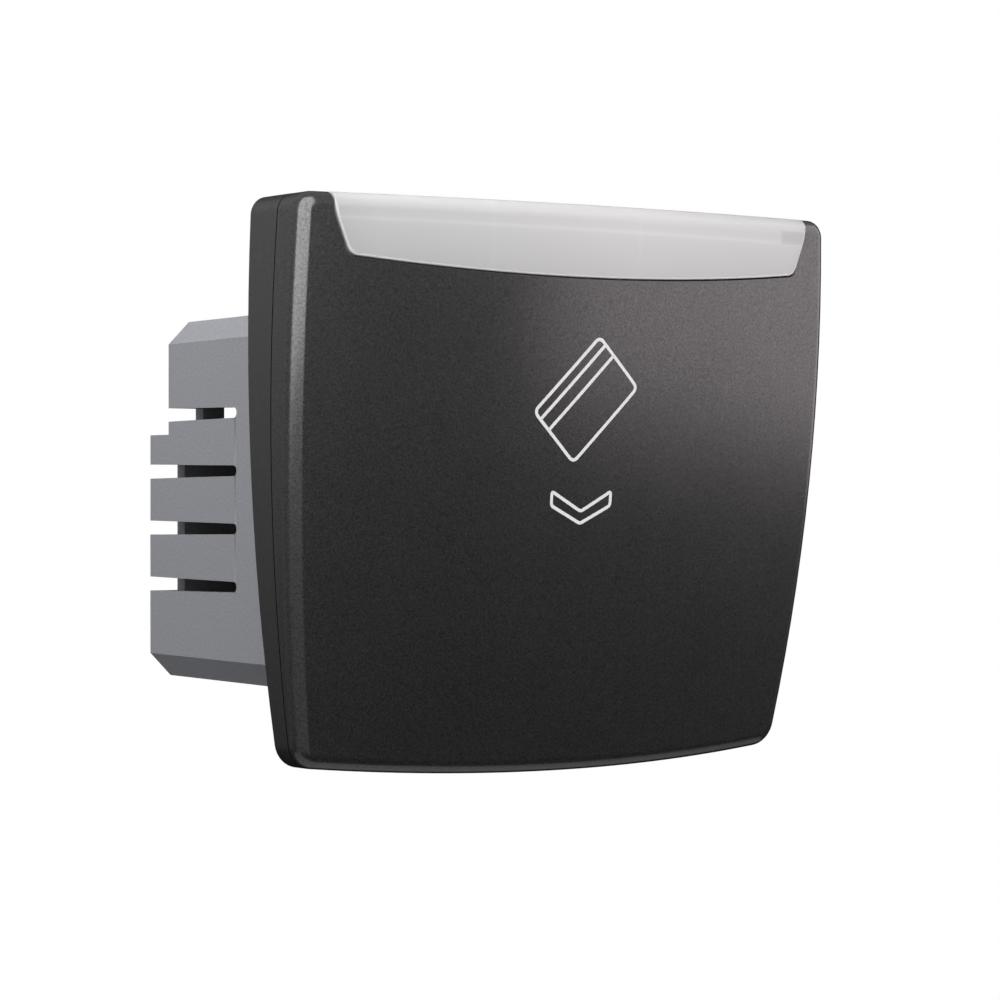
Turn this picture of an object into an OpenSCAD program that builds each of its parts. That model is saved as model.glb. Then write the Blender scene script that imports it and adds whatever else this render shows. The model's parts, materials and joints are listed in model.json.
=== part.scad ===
// Hotel key card switch: wall module with a card pocket, a light window and a clip-in body.
// Millimetres, +Z up. The wall plane is y = 0, the front looks along -Y, the body goes back along +Y.

// Sub-part to build, or "all"

/* [Front shape] */
// Top edge above the centre of the module
face_top = 29.25; // [28.5:0.05:32]
// Lowest point of the bottom arc, below the centre
face_bottom = 27.2; // [26.8:0.1:29]
// Radius of the side arcs in front view
side_arc_r = 260; // [240:5:400]
// Height of the widest place of the side arcs
side_arc_z = 15.5; // [13:0.1:17]
// Radius of the bottom arc
bottom_arc_r = 290; // [240:5:400]
// Top corner radius
top_corner_r = 1.9; // [1.9:0.1:3]
// Bottom corner radius
bottom_corner_r = 2.7; // [2:0.1:4]
// Rounding along the front edge
edge_r = 1.4; // [0.6:0.1:1.7]
// Radius of the crown across the front
crown_r = 198; // [190:2:400]
// Radius of the slight arch of the front in side view
face_arc_r = 415; // [390:5:800]
// Depth of the front at its centre
face_mid_t = 9.5; // [9.3:0.1:12]
// Tilt of the front from the wall plane, degrees
face_tilt = 6.1; // [5.8:0.1:6.4]
// Depth of the joint between frame and cover at the centre
part_mid_t = 3.75; // [3.5:0.05:4]
// Tilt of that joint, degrees
part_tilt = 2.8; // [2:0.1:3.2]
// Height of the shadow groove along the joint
groove_h = 0.25; // [0.15:0.05:0.4]
// Depth of the shadow groove
groove_d = 0.5; // [0.3:0.1:0.8]
// Thickness of the rim walls
rim_wall = 1.8; // [1.5:0.1:1.8]
// Thickness of the front wall
front_wall = 1.6; // [1.4:0.1:1.7]
// Thickness of the back wall of the frame
back_wall = 1.6; // [1.5:0.1:1.7]

/* [Light window] */
// Cover left beside the window at the top edge
window_side = 3.1; // [3:0.1:5.5]
// Lean of the window sides, degrees
window_lean = 21.4; // [12:0.2:24]
// Lowest point of the lower edge, above the centre
window_low = 22; // [21.5:0.1:24]
// Radius of the lower edge
window_arc_r = 280; // [250:5:400]
// Lower corner radius
window_corner_r = 1.2; // [0.6:0.1:2]
// Gap around the window
window_fit = 0.06; // [0.05:0.01:0.2]

/* [Card pocket] */
// Width of the card
card_w = 54; // [50:0.5:60]
// Side play of the card
card_play = 0.5; // [0.4:0.05:0.6]
// Room beside the pocket for the rim and the guide posts
rim_room = 5.1; // [4.9:0.1:6]
// Depth of the pocket behind the guide
pocket_d = 2; // [1.6:0.1:2.1]
// Card stop below the centre
stop_z = 23.5; // [22.5:0.1:23.7]
// Wall left at the top edge behind the pocket
mouth_wall = 0.6; // [0.5:0.05:0.8]
// Length of the run-in chamfer behind the pocket
mouth_len = 12; // [9:0.5:13]
// Thickness of the guide
guide_t = 1; // [0.8:0.1:1]
// Top of the guide above the centre
guide_top = 20.5; // [19:0.1:20.8]
// Height where the guide starts to flare
guide_bend = 9; // [7:0.5:11]
// Flare of the guide towards the front
guide_flare = 3.3; // [2.6:0.1:3.3]
// Bottom of the guide plate below the centre
guide_low = 5; // [3:0.5:5]
// Cut-back of the flared guide beside its posts
guide_back = 4.5; // [4:0.5:7]
// Thickness of the guide posts
post_t = 1.7; // [1.4:0.1:1.7]
// Half width of the tongue facing the lever
tongue_half = 8; // [6:0.5:9]
// Bottom of the tongue below the centre
tongue_low = 19; // [16:0.5:19.5]

/* [Body] */
// Width of the body
body_w = 44.5; // [44.2:0.1:44.7]
// Height of the body at its rear
body_h = 37.8; // [37.4:0.1:39]
// Draft of the top and bottom of the body, degrees
body_draft = 0.7; // [0.2:0.1:1]
// Corner chamfer of the body
body_chamfer = 2.45; // [1.5:0.05:2.6]
// Depth of the lower body behind the wall
body_d = 38.4; // [37.5:0.1:42]
// Depth of the step at the rear
step_d = 4; // [3:0.1:4.5]
// Wall left between the step and the wire entries
step_gap = 1.1; // [0.8:0.1:1.4]
// Thickness of the body walls
body_wall = 1.5; // [1.3:0.1:1.6]
// Thickness of the rear wall
rear_wall = 1.6; // [1.4:0.1:1.8]
// Pitch of the side slots
slot_pitch = 6; // [5.9:0.05:6.1]
// Side slots on each side
slot_count = 4; // [2:2:4]
// Front end of the side slots behind the wall
slot_y = 20.6; // [19.5:0.1:22]
// Slot height at the rear
slot_rear_h = 1.5; // [1.3:0.05:1.7]
// Slot height at the front end
slot_front_h = 1.1; // [0.9:0.05:1.2]
// Reach of the slots in from the side
slot_in = 3.3; // [2.8:0.1:3.5]
// Rib left between slot and vent
vent_rib = 2.6; // [2.2:0.1:2.8]
// Width of the vent
vent_w = 2.8; // [2:0.1:3]
// Height of the vent
vent_h = 2.2; // [1.6:0.1:2.4]

/* [Collar] */
// Side of the square collar
collar_w = 44.8; // [44.6:0.05:44.9]
// Thickness of the collar
collar_t = 2; // [1.6:0.1:2.4]
// Width of the snap arms
arm_w = 14; // [10:0.5:18]
// Length of the snap arms behind the wall
arm_l = 11; // [9:0.5:13]
// Thickness of the snap arms
arm_t = 1.4; // [1.2:0.1:1.6]
// Height of the snap hooks
hook_h = 0.8; // [0.5:0.1:1]
// Start of the snap hooks behind the wall
hook_y = 4; // [3:0.5:5]
// Length of the snap hooks
hook_l = 5; // [4:0.5:5.5]

/* [Frame screws] */
// Sideways place of the screws
screw_x = 16; // [15.4:0.1:16.2]
// Screws in from the inside of the body, top and bottom
screw_edge = 4.8; // [4.6:0.1:5.4]
// Screw shank radius
screw_r = 1.3; // [1.1:0.05:1.4]
// Screw head radius
screw_head_r = 2.4; // [2.1:0.1:2.5]
// Screw head height
screw_head_h = 1.2; // [1:0.1:1.4]
// Depth of the screw tips behind the wall
screw_tip = 11; // [9:0.5:12]
// Clearance around the screws
screw_fit = 0.15; // [0.1:0.05:0.3]
// Wall of the screw bosses
boss_wall = 1.5; // [1.2:0.1:1.8]
// Width of the tool slots in the screw heads
drive_w = 0.6; // [0.4:0.1:0.8]

/* [Carrier] */
// Thickness of the carrier plate
plate_t = 2; // [1.8:0.1:2.2]
// Gap around the carrier plate
plate_fit = 0.3; // [0.2:0.05:0.4]
// Thickness of the carrier cheeks
cheek_t = 1.2; // [1:0.1:1.4]
// Gap between the carrier cheeks and the lamp board
cheek_gap = 0.6; // [0.4:0.1:0.8]
// Carrier cheeks in from the inside of the body, at the bottom
cheek_edge = 1.8; // [1.4:0.1:2]
// Thickness of the spring web
web_t = 1.2; // [1:0.1:1.5]
// Spring web behind the front of the switch
web_in = 3.4; // [3:0.1:3.8]

/* [Lever] */
// Lever pivot behind the wall
pivot_y = 5; // [4.8:0.1:5.2]
// Lever pivot below the top of the cheeks
pivot_edge = 3.5; // [3.3:0.1:4]
// Radius of the lever pin
pin_r = 1; // [0.8:0.05:1.2]
// Running clearance of pins and plungers
run_fit = 0.05; // [0.03:0.01:0.08]
// Radius of the lever hub
hub_r = 2.4; // [2.2:0.1:2.5]
// Side gap of the lever
lever_gap = 0.35; // [0.3:0.05:0.5]
// Thickness of the lever arm
arm_thick = 2.8; // [2.4:0.1:3]
// Bottom of the lever above the bottom of the cheeks
lever_edge = 0.6; // [0.4:0.1:1]
// Height of the nose tip, below the centre
nose_z = 11; // [10.5:0.1:11.5]
// Nose tip radius
nose_r = 0.7; // [0.5:0.05:0.9]
// Half height of the nose at its root
nose_half = 4.5; // [4:0.1:4.8]
// Gap between nose and guide
nose_gap = 0.5; // [0.35:0.05:0.8]
// Half height of the plunger pad
pad_half = 1.3; // [1:0.1:1.6]
// Gap between lever pad and plunger
pad_gap = 0.2; // [0.1:0.05:0.25]
// Thickness of the leaf spring
leaf_t = 0.3; // [0.2:0.05:0.35]
// Width of the leaf spring
leaf_w = 3.6; // [3:0.1:4]

/* [Switch] */
// Thickness of the switch
switch_t = 6.4; // [6.2:0.1:6.6]
// Front of the switch behind the wall
switch_y = 9.6; // [9.6:0.1:9.8]
// Depth of the switch
switch_d = 10; // [9.8:0.1:10]
// Top of the switch above the centre
switch_top = 9; // [8.8:0.1:9.2]
// Bottom of the switch below the centre
switch_low = 11; // [10.8:0.1:11.1]
// Wall of the switch case
case_wall = 1; // [0.9:0.05:1.1]
// Radius of the plunger
plunger_r = 1.2; // [1:0.05:1.4]
// Radius of the plunger collar
plunger_collar_r = 1.8; // [1.6:0.05:2]
// Thickness of the plunger collar
plunger_collar_t = 0.9; // [0.7:0.1:1.1]
// Reach of the plunger out of the case
plunger_out = 1.4; // [1.35:0.05:1.5]
// Reach of the plunger into the case
plunger_in = 2.6; // [2.5:0.05:2.7]
// Contact gap kept between moving and fixed pieces
contact_gap = 0.2; // [0.1:0.05:0.25]
// Thickness of the contact blade
blade_t = 0.4; // [0.3:0.05:0.5]
// Half width of the contact blade
blade_half = 1.3; // [1.1:0.1:1.4]
// Blade pivot below the centre
blade_pivot_z = 8.5; // [8.3:0.1:8.6]
// Radius of the blade pivot
blade_pin_r = 0.5; // [0.4:0.05:0.55]
// Radius of the blade knuckle
knuckle_r = 1; // [0.9:0.05:1.1]
// Height of the contacts above the centre
contact_z = 5; // [4.8:0.1:5.2]
// Contact radius
contact_r = 0.9; // [0.7:0.05:1]
// Contact height on each side of the blade
contact_h = 0.5; // [0.4:0.05:0.6]
// Travel of the moving contact
contact_travel = 1.95; // [1.9:0.01:2]
// Thickness of the contact strips
strip_t = 0.6; // [0.5:0.05:0.7]
// Half width of the contact strips
strip_half = 1; // [0.8:0.1:1.2]

/* [Boards and light] */
// Gap between the switch and the main board
board_gap = 1.4; // [1.2:0.1:1.6]
// Thickness of the boards
board_t = 1.6; // [1.4:0.1:1.7]
// Half width of the main board
board_half = 18.9; // [18.5:0.1:19]
// Main board in from the inside of the body, top and bottom
board_edge = 1.6; // [1:0.1:2]
// Ledge reach under the board
ledge_in = 3; // [2.4:0.1:3.4]
// Sideways place of the light guides
light_x = 8.3; // [8:0.1:8.5]
// Width of the light guides
light_w = 6; // [5:0.1:6]
// Thickness of the light guides
light_t = 1.1; // [1:0.05:1.1]
// Top of the light guides above the centre
light_top = 27; // [26:0.1:27.2]
// Lamps in from the inside of the body, at the top
lamp_edge = 2.8; // [2.6:0.1:3]
// Half height of the light guide feet
foot_half = 1.5; // [1.2:0.1:1.6]
// Gap around the light guides
light_fit = 0.1; // [0.05:0.01:0.15]
// Gap between light guide and lamp
lamp_gap = 0.2; // [0.1:0.05:0.3]
// Lamp height
lamp_h = 0.8; // [0.6:0.05:0.9]
// Lamp width
lamp_w = 3; // [2.4:0.1:3.4]
// Lamp height up the board
lamp_rise = 1.5; // [1.2:0.1:2]
// Half width of the lamp board
lamp_board_half = 12; // [11.4:0.1:12.2]
// Half height of the lamp board
lamp_board_h = 2; // [1.8:0.1:2.1]
// Sideways place of the lamp pins
feed_x = 2.6; // [2.2:0.1:3]
// Radius of the lamp pins
feed_r = 0.4; // [0.3:0.05:0.5]

/* [Board components] */
// Capacitor size across, back and up
cap_size = [12, 8, 7]; // [5:0.5:12]
// Capacitor corner, across and above the lower edge of the board
cap_at = [-16, 1.4]; // [-16:0.1:2]
// Relay size across, back and up
relay_size = [14, 9, 8]; // [6:0.5:14]
// Relay corner, across and above the lower edge of the board
relay_at = [2.5, 1.2]; // [0.5:0.1:3]
// Rectifier size across, back and up
rect_size = [7, 3.2, 5]; // [3:0.1:7]
// Rectifier corner, across and above the lower edge of the board
rect_at = [4, 10.6]; // [3:0.1:11]
// Resistor radius
res_r = 1.3; // [1:0.1:1.4]
// Resistor length
res_l = 8; // [6:0.5:9]
// Left end of the resistors
res_x = -14.5; // [-15:0.1:-13]
// Heights of the resistors above the lower edge of the board
res_z = [11, 14.8]; // [10.5:0.1:15]
// Resistor lead half width
lead_half = 0.35; // [0.25:0.05:0.4]

/* [Terminals] */
// Terminals in the row
term_count = 4; // [4:1:4]
// Pitch of the terminals
term_pitch = 6.2; // [6.15:0.01:6.3]
// Clamp screw heads below the top of the body
head_sink = 0.5; // [0.2:0.1:0.7]
// Radius of the wire entries
wire_r = 1.6; // [1.5:0.02:1.64]
// Width of the clamp cages
cage_w = 5; // [4.9:0.05:5]
// Side wall of the cages
cage_side = 0.8; // [0.7:0.05:0.9]
// Floor of the cages
cage_floor = 1.2; // [1:0.05:1.2]
// Roof of the cages
cage_roof = 1.6; // [1.4:0.05:1.6]
// Opening height of the cages
cage_open = 4.8; // [4.7:0.05:4.8]
// Lift of the cages when tightened
cage_lift = 2.1; // [2:0.05:2.1]
// Clamp screw shank radius
clamp_r = 1.2; // [1.1:0.05:1.3]
// Clamp screw head radius
clamp_head_r = 1.9; // [1.8:0.05:1.95]
// Clamp screw head height
clamp_head_h = 2.1; // [2:0.05:2.2]
// Gap around moving terminal pieces
term_gap = 0.3; // [0.3:0.02:0.32]
// Thickness of the bus bars
bar_t = 0.8; // [0.75:0.05:0.9]
// Width of the bus bars
bar_w = 2.6; // [2.4:0.05:2.7]
// Length of the bus bars down the main board
bar_drop = 7.8; // [7:0.1:8.2]
// Thickness of the ribs between the terminals
rib_t = 0.6; // [0.55:0.01:0.6]
// Thickness of the terminal block floor
block_floor = 0.9; // [0.8:0.05:1]
// Gap between cages and block floor
block_gap = 0.4; // [0.35:0.05:0.5]

/* [Hidden] */
$fn = 48;
// Overshoot of the cutting shapes
over = 1;
// Steps of the corner arcs, of the edge rounding, and across the crown
arc_steps = 6;
edge_steps = 4;
crown_cols = 10;
// Smallest inner corner radius
least_r = 0.1;

// Pocket and front width from the card
pocket_half = card_w/2 + card_play;
face_w = 2*(pocket_half + rim_room);
window_top_w = face_w - 2*window_side;
guide_half = pocket_half - guide_back;
// Depth that passes the whole front
deep = 2*face_mid_t;

// Centres and angles of the outline arcs
side_c = [face_w/2 - side_arc_r, side_arc_z];
bottom_c = [0, bottom_arc_r - face_bottom];
top_rise = face_top - top_corner_r - side_arc_z;
top_c = side_c + [sqrt(pow(side_arc_r - top_corner_r, 2) - pow(top_rise, 2)), top_rise];
top_a = asin(top_rise/(side_arc_r - top_corner_r));
corner_c = circles_meet(side_c, side_arc_r - bottom_corner_r, bottom_c, bottom_arc_r - bottom_corner_r);
bottom_a = atan2(corner_c[1] - bottom_c[1], corner_c[0] - bottom_c[0]);
side_a = atan2(corner_c[1] - side_c[1], corner_c[0] - side_c[0]);

// Pocket, guide and body inside
guide_y = -back_wall - pocket_d;
inner_w = body_w - 2*body_wall;
inner_h = body_h - 2*body_wall;
upper_d = body_d - step_d;
upper_in = upper_d - rear_wall;
lower_in = body_d - rear_wall;
slot_mid = (slot_count - 1)/2;
screw_z = inner_h/2 - screw_edge;
board_top = inner_h/2 - board_edge;
lamp_z = inner_h/2 - lamp_edge;

// Lever and switch
cheek_top = lamp_z - lamp_board_h - cheek_gap;
cheek_low = inner_h/2 - cheek_edge;
pivot_z = cheek_top - pivot_edge;
lever_low = cheek_low - lever_edge;
lever_half = switch_t/2 - lever_gap;
arm_y0 = pivot_y - arm_thick/2;
arm_y1 = pivot_y + arm_thick/2;
nose_tip_y = guide_y + nose_gap;
plunger_y0 = switch_y - plunger_out;
plunger_y1 = switch_y + case_wall + plunger_in;
blade_y = plunger_y1 + contact_gap;
blade_mid = blade_y + blade_t/2;
switch_end = switch_y + switch_d;
web_y = switch_y + web_in;
no_y = blade_y + blade_t + contact_h + contact_travel + contact_gap;
nc_y = blade_y - contact_h - contact_gap;
nc_strip_z = contact_z + contact_r + 2*strip_t;

// Light
lamp_y = plate_t + lamp_gap + lamp_h;
board_y = switch_end + board_gap;
board_back = board_y + board_t;

// Terminals, from the top of the body down
head_z = body_h/2 - head_sink - clamp_head_h;
cage_top = head_z - term_gap - cage_lift;
cage_z = cage_top - cage_roof - cage_open - cage_floor;
bar_z = cage_top - cage_roof - term_gap - bar_t;
wire_z = bar_z - wire_r;
step_z = wire_z - wire_r - step_gap;
cage_d = (upper_in - board_back)/2;
term_y = (upper_in + board_back)/2;
tip_z = bar_z + bar_t + term_gap/2;
block_z = cage_z - block_gap - block_floor;

// Meeting point, lower right, of two circles
function circles_meet(c1, r1, c2, r2) =
    let (d = norm(c2 - c1),
         u = (c2 - c1)/d,
         a = (r1*r1 - r2*r2 + d*d)/(2*d),
         h = sqrt(r1*r1 - a*a))
    c1 + a*u + h*[u[1], -u[0]];

// Points along an arc, with or without its last point
function arc_points(c, r, a0, a1, last) =
    [for (i = [0 : arc_steps - (last ? 0 : 1)])
        let (a = a0 + (a1 - a0)*i/arc_steps)
        c + r*[cos(a), sin(a)]];

// Right half of the outline from the bottom centre to the top corner, moved inward
function half_outline(inset) = concat(
    arc_points(bottom_c, bottom_arc_r - inset, -90, bottom_a, false),
    arc_points(corner_c, max(bottom_corner_r - inset, least_r), bottom_a, side_a, false),
    arc_points(side_c, side_arc_r - inset, side_a, top_a, false),
    arc_points(top_c, max(top_corner_r - inset, least_r), top_a, 90, true));

// A half outline with its mirror image
function closed_loop(half) =
    concat(half, [for (i = [len(half) - 1 : -1 : 1]) [-half[i][0], half[i][1]]]);

// The same with points along the top edge, to follow the crown
function crown_loop(half) =
    let (last = half[len(half) - 1])
    concat(half,
        [for (j = [1 : crown_cols - 1]) [last[0]*(1 - 2*j/crown_cols), last[1]]],
        [for (i = [len(half) - 1 : -1 : 1]) [-half[i][0], half[i][1]]]);

// Front surface and joint plane
function arch(r, v) = r - sqrt(r*r - v*v);
function face_y(x, z) =
    -(face_mid_t + tan(face_tilt)*z) + arch(crown_r, x) + arch(face_arc_r, z);
function part_y(z) = -(part_mid_t + tan(part_tilt)*z);

// Window outline
function window_x(z) = window_top_w/2 - (face_top - z)*tan(window_lean);
function window_z(x) = window_low + arch(window_arc_r, x);
function bend_points(a, b, c) =
    [for (i = [0 : arc_steps]) let (t = i/arc_steps) (1 - t)*(1 - t)*a + 2*t*(1 - t)*b + t*t*c];
function window_half(grow) =
    let (x1 = window_x(window_z(window_x(window_low))),
         z1 = window_z(x1),
         x0 = x1 - window_corner_r,
         z2 = z1 + window_corner_r,
         s = [grow, -grow])
    concat(
        [for (i = [0 : arc_steps - 1]) let (x = x0*i/arc_steps) [x, window_z(x) - grow]],
        bend_points([x0, window_z(x0)] + s, [x1, z1] + s, [window_x(z2), z2] + s),
        [[window_x(face_top + over) + grow, face_top + over]]);

function term_x(i) = (i - (term_count - 1)/2)*term_pitch;

// Box between two corners
module box(a, b) {
    translate(a) cube(b - a);
}

// Front-view profile between two depths
module prism(points, y0, y1) {
    translate([0, y1, 0]) rotate([90, 0, 0]) linear_extrude(y1 - y0) polygon(points);
}

// Side-view profile between two places across
module side_prism(points, x0, x1) {
    translate([x0, 0, 0]) rotate([90, 0, 90]) linear_extrude(x1 - x0) polygon(points);
}

// Rods along Y and along X
module rod_y(r, y0, y1) {
    translate([0, y1, 0]) rotate([90, 0, 0]) cylinder(r = r, h = y1 - y0);
}
module rod_x(r, x0, x1) {
    translate([x0, 0, 0]) rotate([0, 90, 0]) cylinder(r = r, h = x1 - x0);
}

module on_both_sides() {
    children();
    mirror([1, 0, 0]) children();
}

// Everything behind a plane parallel to the joint
module behind_part(shift) {
    translate([0, shift - part_mid_t, 0]) rotate([part_tilt, 0, 0])
        translate([-face_w, 0, -face_w]) cube(2*face_w);
}

// Block between the joint and the crowned front, with a rounded front edge
module face_block(inset, depth, e, lift) {
    halves = [for (k = [0 : edge_steps]) half_outline(inset + e*(1 - cos(90*k/edge_steps)))];
    rows = len(halves[0]);
    loop = 2*rows + crown_cols - 2;
    last = halves[edge_steps];
    first = loop*(edge_steps + 1);
    back = [for (p = crown_loop(halves[0])) [p[0], part_y(p[1]) + lift, p[1]]];
    edge = [for (k = [0 : edge_steps]) for (p = crown_loop(halves[k]))
        [p[0], face_y(p[0], p[1]) + depth + e*(1 - sin(90*k/edge_steps)), p[1]]];
    grid = [for (i = [1 : rows - 2]) for (j = [1 : crown_cols - 1])
        let (x = last[i][0]*(1 - 2*j/crown_cols)) [x, face_y(x, last[i][1]) + depth, last[i][1]]];
    cell = function (i, j) i == 0 ? first
        : j == 0 ? first + i
        : j == crown_cols ? first + loop - i
        : i == rows - 1 ? first + i + j
        : first + loop + (i - 1)*(crown_cols - 1) + j - 1;
    walls = [for (k = [0 : edge_steps]) for (i = [0 : loop - 1])
        let (a = k*loop + i, b = k*loop + (i + 1) % loop)
        each [[a, a + loop, b], [b, a + loop, b + loop]]];
    tip = [for (j = [0 : crown_cols - 1]) [cell(0, 0), cell(1, j + 1), cell(1, j)]];
    front = [for (i = [1 : rows - 2]) for (j = [0 : crown_cols - 1])
        each [[cell(i, j), cell(i, j + 1), cell(i + 1, j)],
              [cell(i, j + 1), cell(i + 1, j + 1), cell(i + 1, j)]]];
    polyhedron(concat(back, edge, grid), concat([[for (i = [0 : loop - 1]) i]], walls, tip, front));
}

// Hollow front shell, before it is divided into cover and window
module face_shell() {
    difference() {
        face_block(0, 0, edge_r, 0);
        face_block(rim_wall, front_wall, least_r, 2*over);
    }
}

module window_prism(grow) {
    prism(closed_loop(window_half(grow)), -deep, 0);
}

module front_cover() {
    color("#2b2c2f") difference() {
        face_shell();
        window_prism(window_fit);
    }
}

module light_window() {
    color("#dfe3e4") intersection() {
        face_shell();
        window_prism(0);
    }
}

module screw_places() {
    for (x = [-screw_x, screw_x]) for (z = [-screw_z, screw_z]) translate([x, 0, z]) children();
}

// Countersunk screw, head flush with the back wall
module screw_shape(grow) {
    translate([0, -back_wall, 0]) rotate([-90, 0, 0])
        cylinder(r1 = screw_head_r + grow, r2 = screw_r + grow, h = screw_head_h);
    rod_y(screw_r + grow, -back_wall + screw_head_h, screw_tip);
}

module frame_screws() {
    color("#b9bcc0") screw_places() difference() {
        screw_shape(0);
        box([-screw_r, -back_wall - over, -drive_w/2], [screw_r, -back_wall + drive_w, drive_w/2]);
    }
}

// Openings of the back wall: lever nose, light guides, screws, run-in of the pocket
module frame_openings() {
    nose_low = -nose_z - nose_half - over;
    box([-switch_t/2, -deep, nose_low], [switch_t/2, over, -nose_z + nose_half + over]);
    on_both_sides() light_guide(light_fit, over);
    screw_places() screw_shape(screw_fit);
    run_in();
}

// Run-in of the pocket, sloped away from the card at the top
module run_in() {
    side_prism([[-back_wall, face_top - mouth_len], [-mouth_wall, face_top + over],
        [-deep, face_top + over], [-deep, face_top - mouth_len]],
        -pocket_half, pocket_half);
}

// Shadow groove along the joint
module joint_groove() {
    intersection() {
        difference() {
            prism(closed_loop(half_outline(-over)), -deep, over);
            prism(closed_loop(half_outline(groove_d)), -2*deep, 2*over);
        }
        difference() {
            behind_part(-over);
            behind_part(groove_h);
        }
    }
}

module rear_frame() {
    color("#2f3033") difference() {
        intersection() {
            prism(closed_loop(half_outline(0)), -deep, 0);
            behind_part(0);
        }
        difference() {
            prism(closed_loop(half_outline(rim_wall)), -deep, -back_wall);
            box([-face_w, -deep, -2*face_w], [face_w, 0, -stop_z]);
        }
        joint_groove();
        frame_openings();
    }
}

module card_guide() {
    flare_y = guide_y - guide_flare;
    color("#3a3b3e") {
        side_prism([[guide_y, -guide_low], [guide_y, guide_bend], [flare_y, guide_top],
            [flare_y - guide_t, guide_top], [guide_y - guide_t, guide_bend],
            [guide_y - guide_t, -guide_low]], -guide_half, guide_half);
        box([-tongue_half, guide_y - guide_t, -tongue_low], [tongue_half, guide_y, -guide_low]);
        on_both_sides() {
            box([guide_half, guide_y - guide_t, -guide_low],
                [pocket_half + post_t, guide_y, guide_bend]);
            box([pocket_half, guide_y, -guide_low], [pocket_half + post_t, -back_wall, guide_bend]);
        }
    }
}

// One light guide: a foot through the wall and a flat bar up to the window
module light_guide(grow, reach) {
    x0 = light_x - light_w/2 - grow;
    x1 = light_x + light_w/2 + grow;
    z0 = lamp_z - foot_half - grow;
    box([x0, -back_wall - reach, z0], [x1, -back_wall + light_t + grow, light_top + grow]);
    box([x0, -back_wall, z0], [x1, plate_t + reach, lamp_z + foot_half + grow]);
}

module light_guides() {
    color("#e8f0f2", 0.8) on_both_sides() difference() {
        light_guide(0, 0);
        run_in();
    }
}

module lamp_board() {
    color("#2d6b45") box([-lamp_board_half, lamp_y, lamp_z - lamp_board_h],
        [lamp_board_half, lamp_y + board_t, lamp_z + lamp_board_h]);
}

module lamps() {
    color("#f4efcf") on_both_sides()
        box([light_x - lamp_w/2, lamp_y - lamp_h, lamp_z - lamp_rise/2],
            [light_x + lamp_w/2, lamp_y, lamp_z + lamp_rise/2]);
}

module lamp_pins() {
    color("#c9a85a") on_both_sides() translate([feed_x, 0, lamp_z])
        rod_y(feed_r, lamp_y + board_t, board_y);
}

// Chamfered front-view section of the body
function body_section(w, h, c) = [[c - w/2, -h/2], [w/2 - c, -h/2], [w/2, c - h/2], [w/2, h/2 - c],
    [w/2 - c, h/2], [c - w/2, h/2], [-w/2, h/2 - c], [-w/2, c - h/2]];

// Snap arm with its hook, above the body
module snap_arm() {
    z = collar_w/2;
    box([-arm_w/2, 0, z - arm_t], [arm_w/2, arm_l, z]);
    side_prism([[hook_y, z - arm_t/2], [hook_y, z + hook_h],
        [hook_y + hook_l, z], [hook_y + hook_l, z - arm_t/2]], -arm_w/2, arm_w/2);
}

// Body with drafted top and bottom, lower at the rear
module drafted_body() {
    section = body_section(body_w, body_h + 2*body_d*tan(body_draft), body_chamfer);
    intersection() {
        rotate([body_draft, 0, 0]) prism(section, -over, body_d + over);
        rotate([-body_draft, 0, 0]) prism(section, -over, body_d + over);
        box([-body_w, 0, -body_h], [body_w, body_d, body_h]);
    }
}

module body_outside() {
    half = collar_w/2;
    drafted_body();
    box([-half, 0, -half], [half, collar_t, half]);
    snap_arm();
    mirror([0, 0, 1]) snap_arm();
}

// Hollow of the body, shallower above the step
module body_inside() {
    prism(body_section(inner_w, inner_h, body_chamfer), -over, upper_in);
    intersection() {
        prism(body_section(inner_w, inner_h, body_chamfer), 0, lower_in);
        box([-body_w, 0, -body_h], [body_w, body_d, step_z - rear_wall]);
    }
}

// Side slot, open to the rear, on the left side at height z
module side_slot(z) {
    slope = (slot_rear_h - slot_front_h)/2/(body_d - slot_y);
    rear = body_d + over;
    grow = slope*(rear - slot_y);
    x0 = -body_w/2;
    side_prism([[slot_y, z - slot_front_h/2], [rear, z - slot_front_h/2 - grow],
        [rear, z + slot_front_h/2 + grow], [slot_y, z + slot_front_h/2]], x0 - over, x0 + slot_in);
    translate([0, slot_y, z]) rod_x(slot_front_h/2, x0 - over, x0 + slot_in);
}

module body_openings() {
    vent_x = -body_w/2 + slot_in + vent_rib;
    vent_z = slot_mid*slot_pitch;
    on_both_sides() {
        for (i = [0 : slot_count - 1]) side_slot((i - slot_mid)*slot_pitch);
        box([vent_x, upper_in - over, vent_z - vent_h/2],
            [vent_x + vent_w, upper_d + over, vent_z + vent_h/2]);
    }
    for (i = [0 : term_count - 1]) {
        translate([term_x(i), 0, wire_z]) rod_y(wire_r, upper_in - over, upper_d + over);
        translate([term_x(i), term_y, inner_h/2 - over])
            cylinder(r = clamp_head_r + term_gap, h = body_wall + 2*over);
    }
}

// Bosses for the frame screws and ledges for the main board
module body_supports() {
    screw_places() rod_y(screw_r + boss_wall, plate_t, screw_tip + boss_wall);
    for (z = [-screw_z, screw_z]) on_both_sides() {
        box([screw_x, plate_t, z - boss_wall/2],
            [body_w/2 - body_wall/2, screw_tip + boss_wall, z + boss_wall/2]);
        box([inner_w/2 - ledge_in, board_y - board_t, z - boss_wall],
            [body_w/2 - body_wall/2, board_y, z + boss_wall]);
    }
}

module housing() {
    color("#85878f") difference() {
        union() {
            difference() {
                body_outside();
                body_inside();
                box([-body_w, upper_d, step_z], [body_w, body_d + over, body_h]);
                body_openings();
            }
            body_supports();
        }
        screw_places() rod_y(screw_r, -over, screw_tip);
    }
}

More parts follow.
